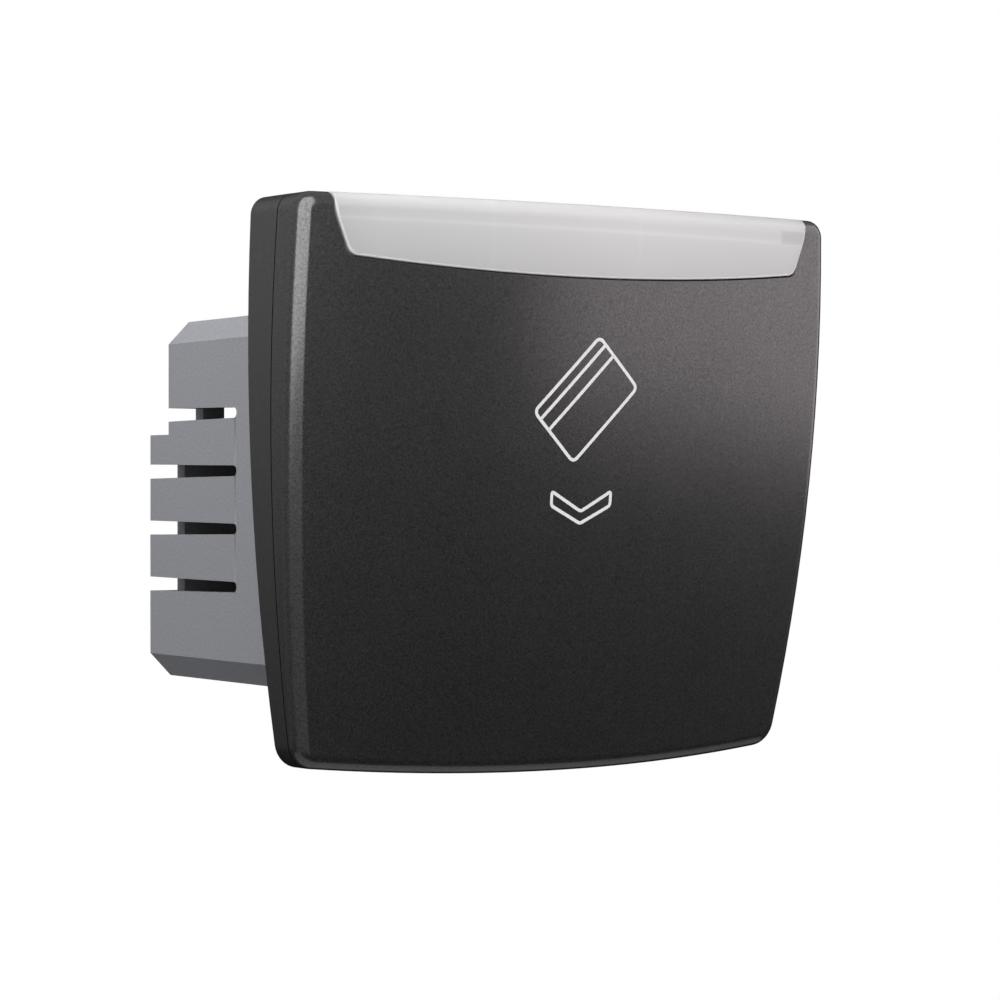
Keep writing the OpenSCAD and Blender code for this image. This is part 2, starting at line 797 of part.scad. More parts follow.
module mechanism_carrier() {
    w = inner_w/2 - plate_fit;
    h = inner_h/2 - plate_fit;
    cheek = switch_t/2 + cheek_t;
    slot_low = -cheek_low - over;
    half = switch_t/2;
    color("#a9abae") difference() {
        union() {
            prism(body_section(2*w, 2*h, body_chamfer), 0, plate_t);
            box([-cheek, 0, -cheek_low], [cheek, switch_end, cheek_top]);
            box([-feed_x, 0, lamp_z - foot_half], [feed_x, lamp_y, lamp_z + foot_half]);
        }
        box([-half, -over, slot_low], [half, web_y, cheek_top + over]);
        box([-half, web_y - over, -switch_low], [half, switch_end + over, cheek_top + over]);
        box([-half, web_y + web_t, slot_low], [half, switch_end + over, cheek_top]);
        on_both_sides() light_guide(light_fit, over);
        screw_places() rod_y(screw_r + screw_fit, -over, plate_t + over);
        translate([0, pivot_y, pivot_z]) rod_x(pin_r, -cheek - over, cheek + over);
    }
}

// Card lever: hub, arm, nose that reaches into the pocket, pad for the plunger
module card_lever() {
    pad_y = plunger_y0 - pad_gap;
    color("#e9e7df") difference() {
        union() {
            translate([0, pivot_y, pivot_z]) rod_x(hub_r, -lever_half, lever_half);
            box([-lever_half, arm_y0, -lever_low], [lever_half, arm_y1, pivot_z]);
            side_prism([[arm_y0, -nose_z + nose_half], [nose_tip_y + nose_r, -nose_z + nose_r],
                [nose_tip_y + nose_r, -nose_z - nose_r], [arm_y0, -lever_low],
                [arm_y1, -lever_low], [arm_y1, -nose_z + nose_half]], -lever_half, lever_half);
            translate([0, nose_tip_y + nose_r, -nose_z]) rod_x(nose_r, -lever_half, lever_half);
            box([-lever_half, arm_y0, -pad_half], [lever_half, pad_y, pad_half]);
        }
        translate([0, pivot_y, pivot_z]) rod_x(pin_r + run_fit, -switch_t, switch_t);
    }
}

module lever_pin() {
    half = switch_t/2 + cheek_t;
    color("#c4c7ca") translate([0, pivot_y, pivot_z]) rod_x(pin_r, -half, half);
}

// Leaf spring between the web and the back of the lever
module lever_spring() {
    top = -switch_low - leaf_t;
    mid = (arm_y1 + web_y)/2;
    low = -lever_low + leaf_t;
    color("#c4c7ca") side_prism([[web_y, top], [web_y, low], [web_y - leaf_t, low],
        [web_y - leaf_t, top - leaf_t], [mid, low], [arm_y1 + leaf_t, top - leaf_t],
        [arm_y1 + leaf_t, low], [arm_y1, low], [arm_y1, top], [arm_y1 + leaf_t, top],
        [mid, low + 2*leaf_t], [web_y - leaf_t, top]], -leaf_w/2, leaf_w/2);
}

// Strips that leave the switch for the main board
module switch_strips(grow) {
    w = strip_half + grow;
    t = strip_t/2 + grow;
    for (z = [nc_strip_z, contact_z, -blade_pivot_z])
        box([-w, switch_end - case_wall - over, z - t], [w, switch_end + over, z + t]);
}
module switch_case() {
    lid_x = switch_t/2 - case_wall;
    color("#1f2a44") difference() {
        box([-switch_t/2, switch_y, -switch_low], [lid_x, switch_end, switch_top]);
        box([-lid_x, switch_y + case_wall, -switch_low + case_wall],
            [switch_t, switch_end - case_wall, switch_top - case_wall]);
        rod_y(plunger_r + run_fit, switch_y - over, switch_y + case_wall + over);
        switch_strips(0);
        translate([0, blade_mid, -blade_pivot_z]) rod_x(blade_pin_r, -switch_t/2 + case_wall/2, 0);
    }
}

module switch_lid() {
    color("#31405f") difference() {
        box([switch_t/2 - case_wall, switch_y, -switch_low], [switch_t/2, switch_end, switch_top]);
        translate([0, blade_mid, -blade_pivot_z]) rod_x(blade_pin_r, 0, switch_t/2 - case_wall/2);
    }
}

module switch_plunger() {
    inside = switch_y + case_wall + contact_gap;
    color("#b5352c") {
        rod_y(plunger_r, plunger_y0, plunger_y1);
        rod_y(plunger_collar_r, inside, inside + plunger_collar_t);
    }
}

module contact_blade() {
    color("#c98f55") difference() {
        union() {
            box([-blade_half, blade_y, -blade_pivot_z],
                [blade_half, blade_y + blade_t, contact_z + contact_r]);
            translate([0, blade_mid, -blade_pivot_z]) rod_x(knuckle_r, -blade_half, blade_half);
        }
        translate([0, blade_mid, -blade_pivot_z]) rod_x(blade_pin_r + run_fit, -switch_t, switch_t);
        translate([0, 0, contact_z]) rod_y(contact_r/2, blade_y - over, blade_y + over);
    }
}

// Rivet contact with a head on each side of the blade
module blade_contact() {
    color("#d9dcdf") translate([0, 0, contact_z]) {
        rod_y(contact_r, blade_y - contact_h, blade_y);
        rod_y(contact_r/2, blade_y, blade_y + blade_t);
        rod_y(contact_r, blade_y + blade_t, blade_y + blade_t + contact_h);
    }
}

module blade_pivot() {
    half = switch_t/2 - case_wall/2;
    side = blade_half + contact_gap;
    z = -blade_pivot_z;
    color("#c9a85a") {
        translate([0, blade_mid, z]) rod_x(blade_pin_r, -half, half);
        on_both_sides() box([side, blade_mid, z - strip_t/2],
            [side + strip_t, switch_end - case_wall, z + strip_t/2]);
        box([-side - strip_t, switch_end - case_wall - strip_t, z - strip_t/2],
            [side + strip_t, switch_end - case_wall, z + strip_t/2]);
        box([-strip_half, switch_end - case_wall - strip_t, z - strip_t/2],
            [strip_half, board_y, z + strip_t/2]);
    }
}

// Contact that closes when a card is in
module contact_open() {
    color("#c9a85a") {
        translate([0, 0, contact_z]) rod_y(contact_r, no_y, no_y + contact_h);
        box([-strip_half, no_y + contact_h, contact_z - strip_t/2],
            [strip_half, board_y, contact_z + strip_t/2]);
    }
}

// Contact that is closed while the pocket is empty
module contact_closed() {
    z = nc_strip_z;
    color("#c9a85a") {
        translate([0, 0, contact_z]) rod_y(contact_r, nc_y - contact_h, nc_y);
        box([-strip_half, nc_y - contact_h - strip_t, contact_z - contact_r],
            [strip_half, nc_y - contact_h, z + strip_t/2]);
        box([-strip_half, nc_y - contact_h - strip_t, z - strip_t/2],
            [strip_half, board_y, z + strip_t/2]);
    }
}

module main_board() {
    color("#2d6b45") box([-board_half, board_y, -board_top], [board_half, board_back, board_top]);
}

// Block standing on the back of the main board
module board_block(at, size) {
    translate([at[0], board_back, at[1] - board_top]) cube(size);
}

module capacitor() {
    color("#c8862b") board_block(cap_at, cap_size);
}

module relay() {
    color("#d8d9d6") board_block(relay_at, relay_size);
}

module rectifier() {
    color("#232326") board_block(rect_at, rect_size);
}

module resistors() {
    color("#b79d77") for (rise = res_z) {
        z = rise - board_top;
        translate([0, board_back + 2*res_r, z]) rod_x(res_r, res_x, res_x + res_l);
        for (x = [res_x, res_x + res_l])
            box([x - lead_half, board_back, z - lead_half],
                [x + lead_half, board_back + 2*res_r + lead_half, z + lead_half]);
    }
}

// Bus bars from the main board into the clamp cages
module bus_bars() {
    color("#c9a85a") for (i = [0 : term_count - 1]) translate([term_x(i), 0, 0]) {
        box([-bar_w/2, board_back, bar_z], [bar_w/2, term_y + cage_d/2 + term_gap, bar_z + bar_t]);
        box([-bar_w/2, board_back, bar_z - bar_drop], [bar_w/2, board_back + bar_t, bar_z + bar_t]);
    }
}

module terminal_block() {
    half = term_count*term_pitch/2 + rib_t/2;
    front = board_back + bar_t + term_gap;
    color("#4a4c52") {
        box([-half, front, block_z], [half, upper_in, block_z + block_floor]);
        for (i = [0 : term_count])
            translate([term_x(i) - term_pitch/2, 0, 0])
                box([-rib_t/2, front, block_z], [rib_t/2, upper_in, cage_top]);
    }
}

// Clamp cage, open for the wire along Y, with the screw through its roof
module cage_at(i) {
    z1 = cage_z + cage_floor;
    color("#b7babd") translate([term_x(i), term_y, 0]) difference() {
        box([-cage_w/2, -cage_d/2, cage_z], [cage_w/2, cage_d/2, cage_top]);
        box([-cage_w/2 + cage_side, -cage_d, z1], [cage_w/2 - cage_side, cage_d, z1 + cage_open]);
        translate([0, 0, z1]) cylinder(r = clamp_r + run_fit, h = cage_top - z1 + over);
    }
}

module clamp_screw_at(i) {
    color("#c4c7ca") translate([term_x(i), term_y, 0]) difference() {
        union() {
            translate([0, 0, tip_z]) cylinder(r = clamp_r, h = head_z - tip_z);
            translate([0, 0, head_z]) cylinder(r = clamp_head_r, h = clamp_head_h);
        }
        box([-clamp_head_r - over, -drive_w/2, head_z + clamp_head_h - drive_w],
            [clamp_head_r + over, drive_w/2, head_z + clamp_head_h + over]);
    }
}

module clamp_cage_1() cage_at(0);
module clamp_cage_2() cage_at(1);
module clamp_cage_3() cage_at(2);
module clamp_cage_4() cage_at(3);
module clamp_screw_1() clamp_screw_at(0);
module clamp_screw_2() clamp_screw_at(1);
module clamp_screw_3() clamp_screw_at(2);
module clamp_screw_4() clamp_screw_at(3);

front_cover();
light_window();
rear_frame();
card_guide();
light_guides();
lamp_board();
lamps();
lamp_pins();
housing();
frame_screws();
mechanism_carrier();
card_lever();
lever_pin();
lever_spring();
switch_case();
switch_lid();
switch_plunger();
contact_blade();
blade_contact();
blade_pivot();
contact_open();
contact_closed();
main_board();
capacitor();
relay();
rectifier();
resistors();
bus_bars();
terminal_block();
clamp_cage_1();
clamp_cage_2();
clamp_cage_3();
clamp_cage_4();
clamp_screw_1();
clamp_screw_2();
clamp_screw_3();
clamp_screw_4();
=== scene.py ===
"""Hotel key card switch: fine front pieces, materials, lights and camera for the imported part."""
import json
import math

import bpy
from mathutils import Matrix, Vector


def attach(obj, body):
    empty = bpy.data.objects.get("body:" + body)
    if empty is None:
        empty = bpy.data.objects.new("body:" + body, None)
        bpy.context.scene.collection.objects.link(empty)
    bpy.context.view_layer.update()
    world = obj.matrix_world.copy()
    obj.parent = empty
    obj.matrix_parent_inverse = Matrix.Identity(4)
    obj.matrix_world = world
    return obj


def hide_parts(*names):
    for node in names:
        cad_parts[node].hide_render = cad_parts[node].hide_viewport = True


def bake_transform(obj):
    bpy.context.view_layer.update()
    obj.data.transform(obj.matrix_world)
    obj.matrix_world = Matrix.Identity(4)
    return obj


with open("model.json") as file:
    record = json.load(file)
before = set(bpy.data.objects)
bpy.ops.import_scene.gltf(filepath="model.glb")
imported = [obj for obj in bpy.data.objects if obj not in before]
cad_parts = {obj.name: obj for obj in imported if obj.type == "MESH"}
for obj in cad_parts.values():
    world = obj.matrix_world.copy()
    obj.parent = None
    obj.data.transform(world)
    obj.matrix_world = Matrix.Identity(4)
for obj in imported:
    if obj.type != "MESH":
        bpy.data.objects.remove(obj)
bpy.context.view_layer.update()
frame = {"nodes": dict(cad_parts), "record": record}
nodes = frame["nodes"]

MM = 0.001

# Front shape in millimetres, as in the part's source
FACE_W = 65.2
FACE_TOP = 29.25
FACE_BOTTOM = 27.2
SIDE_ARC_R = 260.0
SIDE_ARC_Z = 15.5
BOTTOM_ARC_R = 290.0
TOP_CORNER_R = 1.9
BOTTOM_CORNER_R = 2.7
EDGE_R = 1.4
CROWN_R = 198.0
FACE_ARC_R = 415.0
FACE_MID_T = 9.5
FACE_TILT = math.radians(6.1)
PART_MID_T = 3.75
PART_TILT = math.radians(2.8)
RIM_WALL = 1.8
FRONT_WALL = 1.6
LEAST_R = 0.1

# Light window in millimetres, as in the part's source
WINDOW_SIDE = 3.1
WINDOW_LEAN = math.radians(21.4)
WINDOW_LOW = 22.0
WINDOW_ARC_R = 280.0

# Light window in millimetres, finer than in the part's source
WINDOW_CORNER_R = 0.8
WINDOW_X = 0.15
WINDOW_FIT = 0.12
WINDOW_UPRIGHT = 27.5
WINDOW_BEND = 0.35
WINDOW_PAST = 1.0
LENS_PROUD = 0.2
COVER_EDGE_R = 0.12
LENS_EDGE_R = 0.2
LENS_EDGE_TURN = 0.12

# Skin of the rear frame in millimetres, with a narrower shadow groove than in the part's source
GROOVE_H = 0.14
RIM_PROUD = 0.012
RIM_DEEP = 0.35

# Printed symbol in millimetres
SYMBOL_X = 0.05
SYMBOL_LINE = 0.33
SYMBOL_CORNER = 0.3
SYMBOL_PROUD = 0.02
SYMBOL_SUNK = 0.06
SYMBOL_STEP = 0.8
SYMBOL_CORNER_STEPS = 4
MITRE_LEAST = 0.3
CARD_MID_Z = 9.95
CARD_HALF_L = 5.3
CARD_HALF_W = 3.5
CARD_TURN = math.radians(45)
CARD_CORNER_R = 0.6
CARD_STRIPES = (2.42, 0.95)
CHEVRON_HALF = 3.6
CHEVRON_TOP = 0.85
CHEVRON_END = 1.4
CHEVRON_TIP = -2.33
CHEVRON_INNER_TIP = -1.13

# Small rounding of the body's sharp edges, in millimetres and degrees
BODY_EDGE_R = 0.15
BODY_EDGE_ANGLE = 30
BODY_WELD = 0.002

# Mesh fineness, and the angles in degrees up to which an edge is shaded smooth
ARC_STEPS = 14
EDGE_STEPS = 10
CROWN_COLS = 48
ROUND_STEPS = 6
SMOOTH_FRONT = 20
SMOOTH_RIM = 30

# A corner belongs to the crowned front if it is this near, in millimetres, and faces this much the same way
FRONT_NEAR = 0.01
FRONT_ALIKE = 0.95


def arc(c, r, a0, a1, last):
    """Points of an arc, with or without its last point."""
    count = ARC_STEPS + (1 if last else 0)
    angles = [a0 + (a1 - a0)*i/ARC_STEPS for i in range(count)]
    return [(c[0] + r*math.cos(a), c[1] + r*math.sin(a)) for a in angles]


def circles_meet(c1, r1, c2, r2):
    """Meeting point, lower right, of two circles."""
    dx, dz = c2[0] - c1[0], c2[1] - c1[1]
    d = math.hypot(dx, dz)
    ux, uz = dx/d, dz/d
    a = (r1*r1 - r2*r2 + d*d)/(2*d)
    h = math.sqrt(r1*r1 - a*a)
    return c1[0] + a*ux + h*uz, c1[1] + a*uz - h*ux


# Centres and ends of the arcs in the right half of the front outline
SIDE_C = (FACE_W/2 - SIDE_ARC_R, SIDE_ARC_Z)
BOTTOM_C = (0.0, BOTTOM_ARC_R - FACE_BOTTOM)
TOP_RISE = FACE_TOP - TOP_CORNER_R - SIDE_ARC_Z
TOP_A = math.asin(TOP_RISE/(SIDE_ARC_R - TOP_CORNER_R))
TOP_C = (SIDE_C[0] + math.cos(TOP_A)*(SIDE_ARC_R - TOP_CORNER_R), FACE_TOP - TOP_CORNER_R)
CORNER_C = circles_meet(SIDE_C, SIDE_ARC_R - BOTTOM_CORNER_R, BOTTOM_C, BOTTOM_ARC_R - BOTTOM_CORNER_R)
BOTTOM_A = math.atan2(CORNER_C[1] - BOTTOM_C[1], CORNER_C[0] - BOTTOM_C[0])
SIDE_A = math.atan2(CORNER_C[1] - SIDE_C[1], CORNER_C[0] - SIDE_C[0])


def half_outline(inset):
    """Right half of the front outline, from the bottom centre to the top corner, moved inward."""
    return (arc(BOTTOM_C, BOTTOM_ARC_R - inset, -math.pi/2, BOTTOM_A, False)
            + arc(CORNER_C, max(BOTTOM_CORNER_R - inset, LEAST_R), BOTTOM_A, SIDE_A, False)
            + arc(SIDE_C, SIDE_ARC_R - inset, SIDE_A, TOP_A, False)
            + arc(TOP_C, max(TOP_CORNER_R - inset, LEAST_R), TOP_A, math.pi/2, True))


def mirrored_half(half):
    """Left half of an outline, from the top corner to the bottom centre, which is left out."""
    return [(-x, z) for x, z in half[:0:-1]]


def crown_loop(half):
    """A half outline with points along the top edge and its mirror image."""
    x, z = half[-1]
    top = [(x*(1 - 2*j/CROWN_COLS), z) for j in range(1, CROWN_COLS)]
    return half + top + mirrored_half(half)


def arch(r, v):
    """Rise of an arc of radius r at a distance v from its middle."""
    return r - math.sqrt(r*r - v*v)


def face_y(x, z):
    """Place of the crowned and tilted front."""
    return -(FACE_MID_T + math.tan(FACE_TILT)*z) + arch(CROWN_R, x) + arch(FACE_ARC_R, z)


def face_normal(x, z):
    """Outward direction of the crowned and tilted front."""
    return Vector((x/math.sqrt(CROWN_R**2 - x*x), -1,
                   z/math.sqrt(FACE_ARC_R**2 - z*z) - math.tan(FACE_TILT))).normalized()


def part_y(z):
    """Place of the joint between cover and frame."""
    return -(PART_MID_T + math.tan(PART_TILT)*z)


def window_x(z):
    """Half width of the window: leaning sides that turn upright near the top edge."""
    below = WINDOW_BEND*math.log1p(math.exp((WINDOW_UPRIGHT - z)/WINDOW_BEND))
    return FACE_W/2 - WINDOW_SIDE - (FACE_TOP - WINDOW_UPRIGHT + below)*math.tan(WINDOW_LEAN)


def window_z(x):
    """Lower edge of the window."""
    return WINDOW_LOW + arch(WINDOW_ARC_R, x)


def window_loop(grow):
    """Closed window outline, moved outward, reaching past the top edge of the front."""
    x1 = window_x(window_z(window_x(WINDOW_LOW)))
    z1 = window_z(x1)
    x0 = x1 - WINDOW_CORNER_R
    a, b = (x0, window_z(x0)), (x1, z1)
    c = (window_x(z1 + WINDOW_CORNER_R), z1 + WINDOW_CORNER_R)
    half = [(x0*i/ARC_STEPS, window_z(x0*i/ARC_STEPS) - grow) for i in range(ARC_STEPS)]
    for i in range(ARC_STEPS + 1):
        t = i/ARC_STEPS
        half.append(tuple((1 - t)**2*a[k] + 2*t*(1 - t)*b[k] + t*t*c[k] + (grow, -grow)[k] for k in (0, 1)))
    for i in range(1, 2*ARC_STEPS + 1):
        z = c[1] + (FACE_TOP + WINDOW_PAST - c[1])*i/(2*ARC_STEPS)
        half.append((window_x(z) + grow, z))
    return [(x + WINDOW_X, z) for x, z in half + mirrored_half(half)]


def linked(name, mesh):
    """Object of a mesh, put into the scene."""
    piece = bpy.data.objects.new(name, mesh)
    bpy.context.scene.collection.objects.link(piece)
    return piece


def new_piece(name, points, faces):
    """Mesh object from points in millimetres."""
    mesh = bpy.data.meshes.new(name)
    mesh.from_pydata([(x*MM, y*MM, z*MM) for x, y, z in points], [], faces)
    mesh.validate()
    return linked(name, mesh)


def face_block(name, inset, depth, edge, lift):
    """Block between the joint and the crowned front, with a rounded front edge."""
    angles = [math.pi/2*k/EDGE_STEPS for k in range(EDGE_STEPS + 1)]
    halves = [half_outline(inset + edge*(1 - math.cos(a))) for a in angles]
    rows = len(halves[0])
    last = halves[-1]
    points = [(x, part_y(z) + lift, z) for x, z in crown_loop(halves[0])]
    loop = len(points)
    for half, a in zip(halves, angles):
        points += [(x, face_y(x, z) + depth + edge*(1 - math.sin(a)), z) for x, z in crown_loop(half)]
    first = loop*(EDGE_STEPS + 1)
    grid = len(points)
    for i in range(1, rows - 1):
        for j in range(1, CROWN_COLS):
            x, z = last[i][0]*(1 - 2*j/CROWN_COLS), last[i][1]
            points.append((x, face_y(x, z) + depth, z))

    def cell(i, j):
        """Point in row i and column j of the front, on its border or in its grid."""
        if i == 0:
            return first
        if j == 0:
            return first + i
        if j == CROWN_COLS:
            return first + loop - i
        if i == rows - 1:
            return first + i + j
        return grid + (i - 1)*(CROWN_COLS - 1) + j - 1

    faces = [list(range(loop))]
    for k in range(EDGE_STEPS + 1):
        for i in range(loop):
            a, b = k*loop + i, k*loop + (i + 1) % loop
            faces.append([a, a + loop, b + loop, b])
    faces += [[cell(0, 0), cell(1, j + 1), cell(1, j)] for j in range(CROWN_COLS)]
    for i in range(1, rows - 1):
        for j in range(CROWN_COLS):
            faces.append([cell(i, j), cell(i, j + 1), cell(i + 1, j + 1), cell(i + 1, j)])
    return new_piece(name, points, faces)


def window_cutter(name, grow, flare, proud):
    """Prism through the window, from the wall plane to well before the front.

    Its outline changes by flare along a small arc, at a surface that stands proud of the front.
    """
    r = abs(flare)
    rings = [(grow, None, 0.0)]
    for k in range(ROUND_STEPS + 1):
        a = math.pi/2*k/ROUND_STEPS
        rings.append((grow + math.copysign(r*(1 - math.cos(a)), flare), r*(1 - math.sin(a)), None))
    rings.append((grow + flare, None, -2*FACE_MID_T))
    points = []
    for ring_grow, depth, y in rings:
        for x, z in window_loop(ring_grow):
            points.append((x, face_y(x, z) - proud + depth if y is None else y, z))
    loop = len(points)//len(rings)
    faces = [list(range(loop))[::-1], list(range(len(points) - loop, len(points)))]
    for k in range(len(rings) - 1):
        for i in range(loop):
            a, b = k*loop + i, k*loop + (i + 1) % loop
            faces.append([a, b, b + loop, a + loop])
    return new_piece(name, points, faces)


def fix_normals(piece):
    """Turn all faces outward."""
    bpy.context.view_layer.objects.active = piece
    piece.select_set(True)
    bpy.ops.object.mode_set(mode="EDIT")
    bpy.ops.mesh.select_all(action="SELECT")
    bpy.ops.mesh.normals_make_consistent(inside=False)
    bpy.ops.object.mode_set(mode="OBJECT")
    piece.select_set(False)


def combine(name, base, steps):
    """New piece: base with each (operation, other) applied in turn."""
    for operation, other in steps:
        step = base.modifiers.new(operation.lower(), "BOOLEAN")
        step.operation = operation
        step.solver = "EXACT"
        step.object = other
    view = bpy.context.evaluated_depsgraph_get()
    mesh = bpy.data.meshes.new_from_object(base.evaluated_get(view))
    base.modifiers.clear()
    return linked(name, mesh)


def smooth(piece, degrees):
    """Smooth shading, with edges sharper than the angle kept."""
    bpy.context.view_layer.objects.active = piece
    piece.select_set(True)
    bpy.ops.object.shade_smooth_by_angle(angle=math.radians(degrees))
    piece.select_set(False)


def follow_front(piece, proud):
    """True normals of the crowned front on the corners that lie in it, so that no cut shows as a streak."""
    mesh = piece.data
    normals = [corner.vector.copy() for corner in mesh.corner_normals]
    for face in mesh.polygons:
        for i in face.loop_indices:
            x, y, z = (v/MM for v in mesh.vertices[mesh.loops[i].vertex_index].co)
            if abs(y + proud - face_y(x, z)) < FRONT_NEAR:
                front = face_normal(x, z)
                if front.dot(face.normal) > FRONT_ALIKE:
                    normals[i] = front
    mesh.normals_split_custom_set(normals)


def mark_lens_edge_highlight(lens):
    """Second, paler material for the rounded edge of the lens beside the cover: a painted highlight where
    that edge catches light.
    """
    near = 2*LENS_EDGE_R
    for face in lens.data.polygons:
        x, y, z = (v/MM for v in face.center)
        u = x - WINDOW_X
        turn = face.normal - face_normal(x, z)
        aside = abs(u) > window_x(z) - near and turn.x*u > LENS_EDGE_TURN*abs(u)
        below = z < window_z(u) + near and turn.z < -LENS_EDGE_TURN
        if (aside or below) and abs(y + LENS_PROUD - face_y(x, z)) < near:
            face.material_index = 1


def front_pieces():
    """Cover and window at full fineness, cut from the same hollow shell as in the part's source."""
    outer = face_block("shell_outer", inset=0, depth=0, edge=EDGE_R, lift=0)
    inner = face_block("shell_inner", inset=RIM_WALL, depth=FRONT_WALL, edge=LEAST_R, lift=1)
    raised = face_block("lens_outer", inset=0, depth=-LENS_PROUD, edge=EDGE_R, lift=0)
    opening = window_cutter("window_opening", grow=WINDOW_FIT, flare=COVER_EDGE_R, proud=0)
    inset = window_cutter("window_inset", grow=0, flare=-LENS_EDGE_R, proud=LENS_PROUD)
    helpers = [outer, inner, raised, opening, inset]
    for helper in helpers:
        fix_normals(helper)
    cover = combine("cover_shell", outer, [("DIFFERENCE", inner), ("DIFFERENCE", opening)])
    lens = combine("window_lens", raised, [("DIFFERENCE", inner), ("INTERSECT", inset)])
    for helper in helpers:
        bpy.data.objects.remove(helper)
    for piece, node, proud in ((cover, "front_cover", 0), (lens, "light_window", LENS_PROUD)):
        smooth(piece, SMOOTH_FRONT)
        follow_front(piece, proud)
        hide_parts(node)
        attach(piece, "base")
    return cover, lens


def frame_rim():
    """Smooth outer skin of the rear frame, from wall plane to shadow groove, open at the card mouth."""
    corners = ((-RIM_PROUD, False), (-RIM_PROUD, True), (RIM_DEEP, True), (RIM_DEEP, False))
    points = []
    for inset, at_groove in corners:
        half = half_outline(inset)
        for x, z in mirrored_half(half) + half:
            points.append((x, part_y(z) + GROOVE_H if at_groove else -RIM_PROUD, z))
    count = len(points)//len(corners)
    starts = [k*count for k in range(len(corners))]
    faces = [starts, [a + count - 1 for a in starts]]
    for a, b in zip(starts, starts[1:] + starts[:1]):
        faces += [[a + i, a + i + 1, b + i + 1, b + i] for i in range(count - 1)]
    piece = new_piece("frame_rim", points, faces)
    fix_normals(piece)
    smooth(piece, SMOOTH_RIM)
    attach(piece, "base")
    return piece


def leaf_spring():
    """Leaf spring of the lever, as in its node, between the carrier and the lever's back."""
    piece = linked("spring_leaf", nodes["lever_spring"].data.copy())
    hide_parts("lever_spring")
    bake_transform(piece)


def ribbon(path, closed):
    """Left and right edges of a line of constant width along a path, with mitred corners."""
    n = len(path)
    left, right = [], []
    for i, p in enumerate(path):
        before = path[i - 1] if i or closed else None
        after = path[(i + 1) % n] if i < n - 1 or closed else None
        ways = []
        for a, b in ((before, p), (p, after)):
            if a is not None and b is not None:
                ways.append(Vector((b[0] - a[0], b[1] - a[1])).normalized())
        way = sum(ways, Vector((0, 0))).normalized()
        across = Vector((-way.y, way.x))*(SYMBOL_LINE/2/max(way.dot(ways[0]), MITRE_LEAST))
        left.append((p[0] + across.x, p[1] + across.y))
        right.append((p[0] - across.x, p[1] - across.y))
    return left, right


def spaced(path, closed):
    """The same path with no step longer than SYMBOL_STEP."""
    out = []
    ends = path + path[:1] if closed else path
    for a, b in zip(ends, ends[1:]):
        count = max(1, math.ceil(math.dist(a, b)/SYMBOL_STEP))
        out += [(a[0] + (b[0] - a[0])*i/count, a[1] + (b[1] - a[1])*i/count) for i in range(count)]
    return out if closed else out + [path[-1]]


def rounded(path, cut):
    """A closed path with a small curve at each corner."""
    corners = [Vector(p) for p in path]
    out = []
    for a, p, b in zip(corners[-1:] + corners[:-1], corners, corners[1:] + corners[:1]):
        start, end = p + (a - p).normalized()*cut, p + (b - p).normalized()*cut
        for i in range(SYMBOL_CORNER_STEPS + 1):
            t = i/SYMBOL_CORNER_STEPS
            q = start.lerp(p, t).lerp(p.lerp(end, t), t)
            out.append((q.x, q.y))
    return out


def symbol_paths():
    """Card outline with two stripes, and an arrow outline below it, as (path, closed)."""
    c, s = math.cos(CARD_TURN), math.sin(CARD_TURN)

    def place(u, v):
        """Point of the turned card, from its place along and across it."""
        return SYMBOL_X + u*c - v*s, CARD_MID_Z + u*s + v*c

    r = CARD_CORNER_R
    outline = []
    for k, (su, sv) in enumerate(((1, 1), (-1, 1), (-1, -1), (1, -1))):
        mid = (su*(CARD_HALF_L - r), sv*(CARD_HALF_W - r))
        for i in range(ROUND_STEPS + 1):
            a = math.pi/2*(k + i/ROUND_STEPS)
            outline.append(place(mid[0] + r*math.cos(a), mid[1] + r*math.sin(a)))
    paths = [(outline, True)]
    for v in CARD_STRIPES:
        paths.append(([place(-CARD_HALF_L, v), place(CARD_HALF_L, v)], False))
    low = CHEVRON_TOP - CHEVRON_END
    arrow = [(-CHEVRON_HALF, CHEVRON_TOP), (0, CHEVRON_INNER_TIP), (CHEVRON_HALF, CHEVRON_TOP),
             (CHEVRON_HALF, low), (0, CHEVRON_TIP), (-CHEVRON_HALF, low)]
    paths.append((rounded([(SYMBOL_X + x, z) for x, z in arrow], SYMBOL_CORNER), True))
    return paths


def symbol_piece():
    """Thin printed lines on the crowned front."""
    points, faces = [], []
    for path, closed in symbol_paths():
        path = spaced(path, closed)
        left, right = ribbon(path, closed)
        start, n = len(points), len(path)
        for a, b in zip(left, right):
            for x, z in (a, b):
                for y in (-SYMBOL_PROUD, SYMBOL_SUNK):
                    points.append((x, face_y(x, z) + y, z))
        for i in range(n if closed else n - 1):
            p, q = start + 4*i, start + 4*((i + 1) % n)
            faces += [[p, q, q + 2, p + 2], [p + 1, p + 3, q + 3, q + 1],
                      [p, p + 1, q + 1, q], [p + 2, q + 2, q + 3, p + 3]]
        if not closed:
            p, q = start, start + 4*(n - 1)
            faces += [[p, p + 2, p + 3, p + 1], [q, q + 1, q + 3, q + 2]]
    piece = new_piece("card_symbol", points, faces)
    fix_normals(piece)
    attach(piece, "base")
    return piece


def round_edges(node, width_mm, degrees):
    """Small rounding on the sharp edges of a carried-over node."""
    piece = nodes[node]
    weld = piece.modifiers.new("weld", "WELD")
    weld.merge_threshold = BODY_WELD*MM
    edge = piece.modifiers.new("edge", "BEVEL")
    edge.width = width_mm*MM
    edge.segments = 2
    edge.limit_method = "ANGLE"
    edge.angle_limit = math.radians(degrees)
    even = piece.modifiers.new("even", "WEIGHTED_NORMAL")
    even.weight = 100
    even.keep_sharp = False


# Range in which most of a noise lies, and the noise's detail where it is a grain
NOISE_SPAN = (0.3, 0.7)
GRAIN_DETAIL = 3.0

